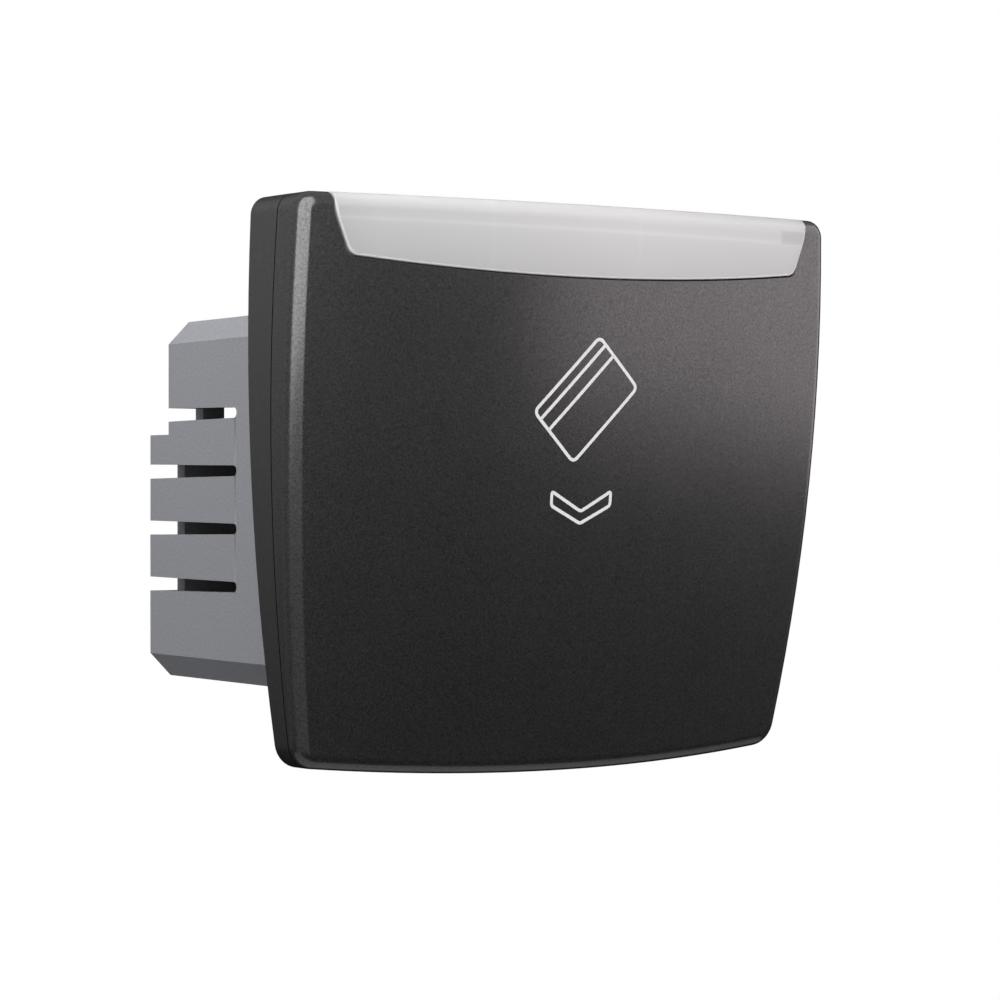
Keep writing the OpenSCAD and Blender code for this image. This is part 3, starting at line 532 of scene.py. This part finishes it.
# Moulded plastic: depth of the grain and size of its clouds in millimetres, play of the roughness
GRAIN_DEPTH = 0.02
CLOUD_SIZE = 9.0
ROUGH_PLAY = 0.03
PLAIN_GLINT = 0.5

# Drawn metal: stretch of its marks, their size and depth in millimetres, their relief, play of the roughness
DRAW_STRETCH = (1, 1, 0.12)
DRAW_SIZE = 0.15
DRAW_DEPTH = 0.01
DRAW_RELIEF = 0.08
DRAW_PLAY = 0.08

# Circuit board: sizes of patches, tracks and haze in millimetres, borders of patches and tracks, roughness
BOARD_PATCH = 7.0
BOARD_PITCH = 1.1
BOARD_HAZE = 1.5
BOARD_CHOICE = (0.49, 0.51)
BOARD_TRACK = (0.78, 0.84)
BOARD_ROUGH = (0.25, 0.4)
# Length of one wave of Blender's wave texture at scale 1
WAVE_LENGTH = math.pi/10

# Clear plastic: haze size in millimetres, play of tone and roughness, share of light let through
CLEAR_HAZE = 2.0
CLEAR_SHARE = 0.03
CLEAR_PLAY = 0.06
CLEAR_THROUGH = 0.9
CLEAR_IOR = 1.49

# Frosted lens: haze size in millimetres, share and reach in metres of the light that spreads inside it
FROST_HAZE = 4.0
FROST_SPREAD = 0.3
FROST_REACH = (0.003, 0.003, 0.003)
# Slope by which its bands fall to the right, and margin in millimetres below and above it
BAND_FALL = 0.0045
BAND_MARGIN = 0.5
# Its painted light and shade: paler and darker bands for the lit and shaded steps inside it, from its lower
# edge up, as (share of the height, tone)
PAINTED_BANDS = ((0.0, 0.82), (0.54, 0.97), (0.6, 1.0), (0.615, 1.07), (0.64, 1.07), (0.66, 1.01),
         (0.73, 0.98), (0.77, 1.03), (0.86, 0.96), (0.95, 0.87), (1.0, 0.8))
# The same along the width of the front: painted paler lines where inner ribs show through, and painted shade
# towards the ends
PAINTED_ENDS = ((0.06, 0.85), (0.13, 0.95), (0.315, 0.985), (0.32, 1.01), (0.325, 0.985),
        (0.585, 1.0), (0.59, 1.025), (0.595, 1.0), (0.86, 0.92), (0.9, 0.91), (0.94, 0.89))
# Shadow of the light guide's end behind the lens, as stops along the width and up the height
GUIDE_ACROSS = ((0.885, 0.0), (0.89, 1.0), (0.945, 1.0))
GUIDE_UP = ((0.61, 0.0), (0.62, 1.0), (0.77, 1.0), (0.79, 0.0))
GUIDE_TONE = 0.85

# Moulded plastics: colour, roughness, grain size in millimetres, relief and share by which the tone varies,
# and for the black front also its refraction and how unevenly it glints
PLASTICS = {
    "cover_black": ((0.0142, 0.0142, 0.0144), 0.22, 0.2, 0.1, 0.48, 1.8, 0.25),
    "frame_black": ((0.014, 0.014, 0.0145), 0.24, 0.2, 0.1, 0.3, 1.8, 0.2),
    # window_edge is paler than the lens: a painted highlight on the lens's rounded edge
    "window_edge": ((0.88, 0.88, 0.88), 0.25, 0.4, 0.02, 0.02),
    "symbol_white": ((0.92, 0.92, 0.92), 0.4, 0.2, 0.05, 0.02),
    "body_grey": ((0.284, 0.288, 0.31), 0.55, 0.25, 0.25, 0.12),
    "inner_grey": ((0.38, 0.39, 0.4), 0.5, 0.3, 0.15, 0.06),
    "guide_black": ((0.03, 0.03, 0.031), 0.4, 0.25, 0.15, 0.2),
    "lever_white": ((0.78, 0.76, 0.7), 0.35, 0.4, 0.06, 0.04),
    "switch_blue": ((0.014, 0.022, 0.055), 0.45, 0.25, 0.15, 0.2),
    "plunger_red": ((0.42, 0.035, 0.03), 0.35, 0.3, 0.08, 0.1),
    "block_dark": ((0.07, 0.075, 0.085), 0.5, 0.3, 0.15, 0.15),
    "comp_amber": ((0.5, 0.2, 0.025), 0.25, 0.8, 0.2, 0.1),
    "comp_pale": ((0.64, 0.65, 0.62), 0.4, 0.5, 0.08, 0.05),
    "comp_black": ((0.018, 0.018, 0.019), 0.45, 0.3, 0.15, 0.2),
}
# Metals: colour, roughness and share by which the tone varies
METALS = {
    "steel": ((0.55, 0.56, 0.58), 0.32, 0.12),
    "brass": ((0.6, 0.42, 0.15), 0.3, 0.12),
    "silver": ((0.76, 0.75, 0.73), 0.28, 0.12),
}


def new_material(name):
    """Material with its node tree, its shader and the place on the piece in metres."""
    material = bpy.data.materials.new(name)
    material.use_nodes = True
    tree = material.node_tree
    shader = tree.nodes["Principled BSDF"]
    place = tree.nodes.new("ShaderNodeTexCoord").outputs["Object"]
    return material, tree, shader, place


def noise(tree, place, size_mm, detail=2.0):
    """Noise with features of a given size."""
    node = tree.nodes.new("ShaderNodeTexNoise")
    node.inputs["Scale"].default_value = 1/(size_mm*MM)
    node.inputs["Detail"].default_value = detail
    tree.links.new(place, node.inputs["Vector"])
    return node.outputs["Fac"]


def ramp(tree, source, low, high, span=NOISE_SPAN):
    """Colour between two colours, as a value goes through a span."""
    node = tree.nodes.new("ShaderNodeValToRGB")
    for element, position, colour in zip(node.color_ramp.elements, span, (low, high)):
        element.position = position
        element.color = (*colour, 1)
    tree.links.new(source, node.inputs["Fac"])
    return node.outputs["Color"]


def stepped(tree, source, stops, colour=(1, 1, 1)):
    """Tones of one colour along a value, from (place, tone) stops."""
    node = tree.nodes.new("ShaderNodeValToRGB")
    elements = node.color_ramp.elements
    for _ in range(len(stops) - len(elements)):
        elements.new(0.5)
    for element, (at, tone) in zip(elements, stops):
        element.position = at
        element.color = (*(v*tone for v in colour), 1)
    tree.links.new(source, node.inputs["Fac"])
    return node.outputs["Color"]


def spread(tree, source, low, high, span=(0.0, 1.0)):
    """Value between two limits, as another value goes through a span."""
    node = tree.nodes.new("ShaderNodeMapRange")
    for name, value in zip(("From Min", "From Max", "To Min", "To Max"), (*span, low, high)):
        node.inputs[name].default_value = value
    tree.links.new(source, node.inputs["Value"])
    return node.outputs["Result"]


def mixed(tree, share, first, second):
    """Colour between two colours by a share."""
    node = tree.nodes.new("ShaderNodeMix")
    node.data_type = "RGBA"
    tree.links.new(share, node.inputs["Factor"])
    tree.links.new(first, node.inputs["A"])
    tree.links.new(second, node.inputs["B"])
    return node.outputs["Result"]


def multiplied(tree, first, second):
    """Product of two colours."""
    node = tree.nodes.new("ShaderNodeVectorMath")
    node.operation = "MULTIPLY"
    tree.links.new(first, node.inputs[0])
    tree.links.new(second, node.inputs[1])
    return node.outputs["Vector"]


def bump(tree, shader, source, strength, height_mm):
    """Fine relief of a surface."""
    node = tree.nodes.new("ShaderNodeBump")
    node.inputs["Strength"].default_value = strength
    node.inputs["Distance"].default_value = height_mm*MM
    tree.links.new(source, node.inputs["Height"])
    tree.links.new(node.outputs["Normal"], shader.inputs["Normal"])


def tones(colour, share):
    """A darker and a paler tone of a colour."""
    return tuple(v*(1 - share) for v in colour), tuple(min(1, v*(1 + share)) for v in colour)


def moulded(name, colour, rough, grain_mm, relief, share, ior=1.5, sparkle=0.0):
    """Moulded plastic with a fine spark-eroded grain, which may also glint a little unevenly."""
    material, tree, shader, place = new_material(name)
    grain = noise(tree, place, grain_mm, GRAIN_DETAIL)
    cloud = noise(tree, place, CLOUD_SIZE)
    tree.links.new(ramp(tree, grain, *tones(colour, share)), shader.inputs["Base Color"])
    tree.links.new(spread(tree, cloud, rough - ROUGH_PLAY, rough + ROUGH_PLAY), shader.inputs["Roughness"])
    bump(tree, shader, grain, relief, GRAIN_DEPTH)
    shader.inputs["IOR"].default_value = ior
    if sparkle:
        glint = spread(tree, grain, PLAIN_GLINT*(1 - sparkle), PLAIN_GLINT*(1 + sparkle), NOISE_SPAN)
        tree.links.new(glint, shader.inputs["Specular IOR Level"])
    return material


def metal(name, colour, rough, share):
    """Plated or drawn metal with fine draw marks."""
    material, tree, shader, place = new_material(name)
    stretch = tree.nodes.new("ShaderNodeMapping")
    stretch.inputs["Scale"].default_value = DRAW_STRETCH
    tree.links.new(place, stretch.inputs["Vector"])
    marks = noise(tree, stretch.outputs["Vector"], DRAW_SIZE, GRAIN_DETAIL)
    tree.links.new(ramp(tree, marks, *tones(colour, share)), shader.inputs["Base Color"])
    tree.links.new(spread(tree, marks, rough - DRAW_PLAY, rough + DRAW_PLAY), shader.inputs["Roughness"])
    bump(tree, shader, marks, DRAW_RELIEF, DRAW_DEPTH)
    shader.inputs["Metallic"].default_value = 1
    return material


def circuit_board(name, mask, track):
    """Solder mask over faint copper tracks, which run up or across in square patches."""
    material, tree, shader, place = new_material(name)
    patches = tree.nodes.new("ShaderNodeTexVoronoi")
    patches.distance = "CHEBYCHEV"
    patches.inputs["Scale"].default_value = 1/(BOARD_PATCH*MM)
    tree.links.new(place, patches.inputs["Vector"])
    tracks = []
    for direction in ("X", "Z"):
        lines = tree.nodes.new("ShaderNodeTexWave")
        lines.bands_direction = direction
        lines.inputs["Scale"].default_value = WAVE_LENGTH/(BOARD_PITCH*MM)
        tree.links.new(place, lines.inputs["Vector"])
        tracks.append(ramp(tree, lines.outputs["Fac"], mask, track, BOARD_TRACK))
    choice = spread(tree, patches.outputs["Color"], 0.0, 1.0, BOARD_CHOICE)
    tree.links.new(mixed(tree, choice, *tracks), shader.inputs["Base Color"])
    tree.links.new(spread(tree, noise(tree, place, BOARD_HAZE), *BOARD_ROUGH), shader.inputs["Roughness"])
    return material


def lens_shares(tree, place):
    """Place on the lens as a share of the front's width, and of the lens's height along its bands."""
    parts = tree.nodes.new("ShaderNodeSeparateXYZ")
    tree.links.new(place, parts.inputs["Vector"])
    level = tree.nodes.new("ShaderNodeMath")
    level.operation = "MULTIPLY_ADD"
    level.inputs[1].default_value = BAND_FALL
    tree.links.new(parts.outputs["X"], level.inputs[0])
    tree.links.new(parts.outputs["Z"], level.inputs[2])
    width = (-FACE_W/2*MM, FACE_W/2*MM)
    height = ((WINDOW_LOW - BAND_MARGIN)*MM, (FACE_TOP + BAND_MARGIN)*MM)
    return (spread(tree, parts.outputs["X"], 0.0, 1.0, width),
            spread(tree, level.outputs["Value"], 0.0, 1.0, height))


def frosted_painted_shade(name, colour, rough, alpha):
    """Milky plastic with painted light and shade: bands, darker ends and the light guide's shadow, for what
    shows through it.
    """
    material, tree, shader, place = new_material(name)
    haze = noise(tree, place, FROST_HAZE)
    across, up = lens_shares(tree, place)
    tone = multiplied(tree, stepped(tree, up, PAINTED_BANDS, colour), stepped(tree, across, PAINTED_ENDS))
    guide = multiplied(tree, stepped(tree, across, GUIDE_ACROSS), stepped(tree, up, GUIDE_UP))
    dimmed = stepped(tree, guide, ((0.0, 1.0), (1.0, GUIDE_TONE)))
    tree.links.new(multiplied(tree, tone, dimmed), shader.inputs["Base Color"])
    tree.links.new(spread(tree, haze, rough - ROUGH_PLAY, rough + ROUGH_PLAY), shader.inputs["Roughness"])
    shader.inputs["Alpha"].default_value = alpha
    shader.inputs["Subsurface Weight"].default_value = FROST_SPREAD
    shader.inputs["Subsurface Radius"].default_value = FROST_REACH
    shader.inputs["Subsurface Scale"].default_value = 1.0
    return material


def clear(name, colour, rough):
    """Clear polished plastic."""
    material, tree, shader, place = new_material(name)
    haze = noise(tree, place, CLEAR_HAZE)
    tree.links.new(ramp(tree, haze, *tones(colour, CLEAR_SHARE)), shader.inputs["Base Color"])
    tree.links.new(spread(tree, haze, rough, rough + CLEAR_PLAY), shader.inputs["Roughness"])
    shader.inputs["Transmission Weight"].default_value = CLEAR_THROUGH
    shader.inputs["IOR"].default_value = CLEAR_IOR
    return material


def make_materials():
    """All materials of the part, by name. Those of the nodes have the names of the record's slots."""
    made = {name: moulded(name, *values) for name, values in PLASTICS.items()}
    made.update({name: metal(name, *values) for name, values in METALS.items()})
    made["light_clear"] = clear("light_clear", (0.9, 0.93, 0.95), 0.06)
    made["board_green"] = circuit_board("board_green", (0.02, 0.12, 0.05), (0.05, 0.2, 0.09))
    # The lens material's bands, ends and guide shadow are painted light and shade
    made["window_frost"] = frosted_painted_shade("window_frost", (0.775, 0.775, 0.775), 0.3, 0.94)
    return made


def dress(piece, *materials):
    """Give a piece its materials."""
    piece.data.materials.clear()
    for material in materials:
        piece.data.materials.append(material)


# Camera, in metres, and the way it looks
CAMERA_AT = (-0.19479, -0.27720, 0.0006)
CAMERA_WAY = (0.5686, 0.8226, 0.0)
CAMERA_SHIFT_Y = -0.006
CAMERA_LENS = 120
CAMERA_SENSOR = 36
CAMERA_CLIP = (0.01, 20)

# Floor, in metres and well below the object, its cloud size in millimetres and its glow to the camera
FLOOR_Z = -0.6
FLOOR_LEAST = (-0.7, -0.22)
FLOOR_MOST = (0.9, 0.34)
FLOOR_CLOUD = 300
FLOOR_TONES = ((0.78, 0.78, 0.78), (0.8, 0.8, 0.8))
FLOOR_ROUGH = 0.9
FLOOR_SEEN = 0.55

# Usual distance of a softbox from the object's upright axis, in metres
LIGHT_AT = 0.45
WHITE = (1, 1, 1)
ROSE = (1, 0.9, 0.925)

# Soft light on matt surfaces: side that it comes from, its two tones and the span between them
SKY_AXIS = (-0.73, 0.3, 0.61)
SKY_TONES = ((0.06, 0.06, 0.06), (0.465, 0.465, 0.475))
SKY_SPAN = (0.3, 1.0)
UP = (0, 0, 1)
# Brightness that glossy pieces mirror, from straight below (0) to straight above (1)
HORIZON = ((0.3, 0.04), (0.36, 0.07), (0.415, 0.14), (0.475, 0.24), (0.545, 0.42), (0.7, 0.5))
# Its dimming towards the backdrop, from the camera's side (0) to the far side (1)
FAR_SIDE = ((0.76, 1.0), (0.91, 0.17))


def aim(thing, way):
    """Turn a camera or lamp to look along a direction."""
    thing.rotation_mode = "QUATERNION"
    thing.rotation_quaternion = Vector(way).to_track_quat("-Z", "Y")


def make_camera():
    """Camera of the photo: from the left front, level with the centre."""
    data = bpy.data.cameras.new("camera")
    data.lens = CAMERA_LENS
    data.sensor_width = CAMERA_SENSOR
    data.shift_y = CAMERA_SHIFT_Y
    data.clip_start, data.clip_end = CAMERA_CLIP
    camera = linked("camera", data)
    camera.location = CAMERA_AT
    aim(camera, CAMERA_WAY)
    bpy.context.scene.camera = camera


def soft_light(name, azimuth, height, width, tall, radiance, distance=LIGHT_AT, tint=WHITE):
    """Rectangular softbox that looks level at the object's axis.

    Its azimuth is in degrees from the front, to the right, and its sizes and places are in metres.
    """
    a = math.radians(azimuth)
    data = bpy.data.lights.new(name, "AREA")
    data.shape = "RECTANGLE"
    data.size = width
    data.size_y = tall
    data.energy = radiance*math.pi*width*tall
    data.color = tint
    light = linked(name, data)
    light.location = (distance*math.sin(a), -distance*math.cos(a), height)
    aim(light, (-math.sin(a), math.cos(a), 0))
    light.visible_camera = False
    return light


def make_lights():
    """Strips that are mostly only mirrored, and panels that mostly only light matt surfaces."""
    left = soft_light("strip_left", -58, height=0.038, width=0.38, tall=0.126, radiance=3.6)
    soft_light("strip_front", -18, height=0.038, width=0.28, tall=0.126, radiance=3.6)
    low = soft_light("strip_low", -39, height=-0.24, width=0.8, tall=0.42, radiance=0.25)
    side = soft_light("strip_side", -108, height=0.0, width=0.5, tall=0.5, radiance=0.12)
    high = soft_light("strip_high", -39, height=0.6, width=0.8, tall=1.0, radiance=3.6)
    for mirrored_only in (left, low, side, high):
        mirrored_only.visible_diffuse = False
    soft_light("panel_right", 63, height=0.18, width=0.55, tall=0.44, radiance=1.45, tint=ROSE)
    near = soft_light("panel_near", -99, height=0.12, width=0.08, tall=0.08, radiance=8.1, distance=0.122)
    aim(near, -near.location)
    top = soft_light("panel_top", 0, height=0.6, width=0.6, tall=0.6, radiance=1.15, distance=0.0)
    aim(top, (0, 0, -1))
    back = soft_light("panel_back", 155, height=0.15, width=0.6, tall=0.5, radiance=1.6, distance=0.6)
    front = soft_light("panel_front", -2, height=0.0, width=0.24, tall=0.6, radiance=3.0, distance=0.6)
    for never_mirrored in (near, top, back, front):
        never_mirrored.visible_glossy = False


def make_floor():
    """Pale floor, which the camera sees near white."""
    (x0, y0), (x1, y1) = FLOOR_LEAST, FLOOR_MOST
    corners = [(x, y, FLOOR_Z) for x, y in ((x0, y0), (x1, y0), (x1, y1), (x0, y1))]
    mesh = bpy.data.meshes.new("floor")
    mesh.from_pydata(corners, [], [(0, 1, 2, 3)])
    floor = linked("floor", mesh)
    material, tree, shader, place = new_material("floor_pale")
    tree.links.new(ramp(tree, noise(tree, place, FLOOR_CLOUD), *FLOOR_TONES), shader.inputs["Base Color"])
    shader.inputs["Roughness"].default_value = FLOOR_ROUGH
    seen = tree.nodes.new("ShaderNodeLightPath").outputs["Is Camera Ray"]
    shader.inputs["Emission Color"].default_value = (*WHITE, 1)
    tree.links.new(spread(tree, seen, 0.0, FLOOR_SEEN), shader.inputs["Emission Strength"])
    dress(floor, material)


def toward(tree, way, axis):
    """Share from 0, against an axis, to 1, along it."""
    node = tree.nodes.new("ShaderNodeVectorMath")
    node.operation = "DOT_PRODUCT"
    node.inputs[1].default_value = axis
    tree.links.new(way, node.inputs[0])
    return spread(tree, node.outputs["Value"], 0.0, 1.0, (-1.0, 1.0))


def make_world():
    """White to the camera and through clear pieces, soft light from the upper left to matt surfaces.

    Glossy surfaces mirror a graded surround, because the photo's black front has dark edges.
    """
    world = bpy.data.worlds.new("studio")
    bpy.context.scene.world = world
    world.use_nodes = True
    tree = world.node_tree
    way = tree.nodes.new("ShaderNodeTexCoord").outputs["Generated"]
    soft = ramp(tree, toward(tree, way, SKY_AXIS), *SKY_TONES, SKY_SPAN)
    level = stepped(tree, toward(tree, way, UP), HORIZON)
    shade = stepped(tree, toward(tree, way, CAMERA_WAY), FAR_SIDE)
    path = tree.nodes.new("ShaderNodeLightPath")
    colour = mixed(tree, path.outputs["Is Glossy Ray"], soft, multiplied(tree, level, shade))
    seen = tree.nodes.new("ShaderNodeMath")
    seen.operation = "MAXIMUM"
    tree.links.new(path.outputs["Is Camera Ray"], seen.inputs[0])
    tree.links.new(path.outputs["Is Transmission Ray"], seen.inputs[1])
    white = tree.nodes.new("ShaderNodeRGB").outputs["Color"]
    white.default_value = (*WHITE, 1)
    background = tree.nodes["Background"]
    tree.links.new(mixed(tree, seen.outputs["Value"], colour, white), background.inputs["Color"])


make_camera()
cover, lens = front_pieces()
rim = frame_rim()
symbol = symbol_piece()
materials = make_materials()
for part in frame["record"]["subparts"]:
    dress(nodes[part["node"]], materials[part["material_slot"]])
leaf_spring()
dress(rim, materials["frame_black"])
dress(cover, materials["cover_black"])
# The lens's paler edge material is a painted highlight
dress(lens, materials["window_frost"], materials["window_edge"])
mark_lens_edge_highlight(lens)
dress(symbol, materials["symbol_white"])
round_edges("housing", BODY_EDGE_R, BODY_EDGE_ANGLE)
make_lights()
make_floor()
make_world()
bpy.context.scene.view_settings.view_transform = "Standard"
